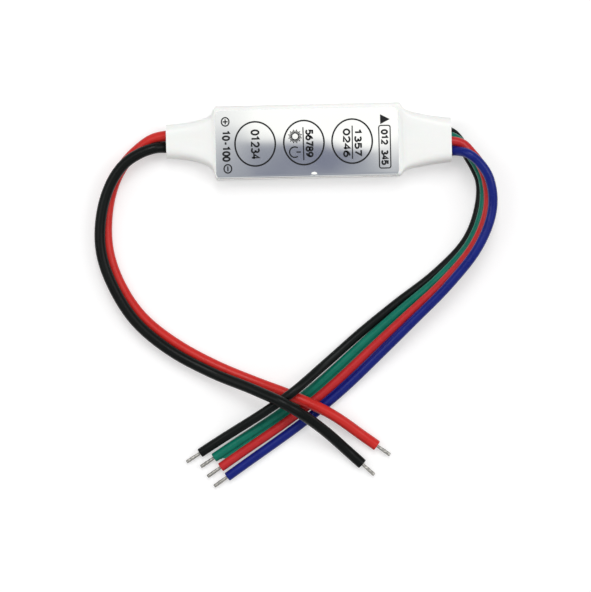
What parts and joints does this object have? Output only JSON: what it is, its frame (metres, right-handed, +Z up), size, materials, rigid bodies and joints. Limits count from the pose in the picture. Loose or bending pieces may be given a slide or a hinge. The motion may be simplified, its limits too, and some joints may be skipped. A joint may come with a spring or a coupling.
{
  "type": "led strip controller",
  "caption": "Inline colour and brightness controller for an LED strip: a keyed board in a white shrink sleeve with a mirror label, a supply lead and an output lead",
  "frame": {"origin": "on the resting face under the middle of the sleeve, without the leads", "axes": "+Z up out of the label, +X along the body towards the output lead, +Y to the back edge, away from where the leads lie"},
  "size_m": [0.068, 0.0647, 0.0076],
  "materials": {
    "sleeve_white": "heat-shrunk white PVC film, satin",
    "mirror_label": "silver mirror film with fine black print",
    "board_green": "glass-epoxy laminate with green solder mask",
    "tinned": "tin-plated copper",
    "black_mould": "moulded black epoxy",
    "key_steel": "stamped tinned steel",
    "dome_steel": "spring steel",
    "plunger_cream": "moulded nylon",
    "resistor_black": "black overglaze",
    "ceramic_tan": "fired ceramic",
    "wire_red": "smooth red PVC insulation",
    "wire_black": "smooth black PVC insulation",
    "wire_green": "smooth green PVC insulation",
    "wire_blue": "smooth blue PVC insulation"
  },
  "bodies": {
    "root": {"sleeve": "sleeve_white", "label": "mirror_label", "circuit_board": "board_green", "copper_pads": "tinned", "key_1_housing": "black_mould", "key_1_cover": "key_steel", "key_1_dome": "dome_steel", "key_1_legs": "tinned", "key_2_housing": "black_mould", "key_2_cover": "key_steel", "key_2_dome": "dome_steel", "key_2_legs": "tinned", "key_3_housing": "black_mould", "key_3_cover": "key_steel", "key_3_dome": "dome_steel", "key_3_legs": "tinned", "control_chip": "black_mould", "control_chip_legs": "tinned", "output_transistors": "black_mould", "transistor_legs": "tinned", "voltage_regulator": "black_mould", "regulator_legs": "tinned", "input_diode": "black_mould", "diode_caps": "tinned", "resistors": "resistor_black", "resistor_caps": "tinned", "capacitors": "ceramic_tan", "capacitor_caps": "tinned", "wire_cores": "tinned", "solder_joints": "tinned", "supply_wire_red": "wire_red", "supply_wire_black": "wire_black", "output_wire_black": "wire_black", "output_wire_green": "wire_green", "output_wire_red": "wire_red", "output_wire_blue": "wire_blue", "supply_tip_red": "tinned", "supply_tip_black": "tinned", "output_tip_black": "tinned", "output_tip_green": "tinned", "output_tip_red": "tinned", "output_tip_blue": "tinned"},
    "key_1": {"key_1_plunger": "plunger_cream"},
    "key_2": {"key_2_plunger": "plunger_cream"},
    "key_3": {"key_3_plunger": "plunger_cream"}
  },
  "joints": [
    {"name": "key_1_press", "type": "slide", "parent": "root", "child": "key_1", "axis": [0, 0, -1], "range_m": [0, 0.00025], "stiffness_N_per_m": 6000, "deforming": ["key_1_dome"]},
    {"name": "key_2_press", "type": "slide", "parent": "root", "child": "key_2", "axis": [0, 0, -1], "range_m": [0, 0.00025], "stiffness_N_per_m": 6000, "deforming": ["key_2_dome"]},
    {"name": "key_3_press", "type": "slide", "parent": "root", "child": "key_3", "axis": [0, 0, -1], "range_m": [0, 0.00025], "stiffness_N_per_m": 6000, "deforming": ["key_3_dome"]}
  ]
}
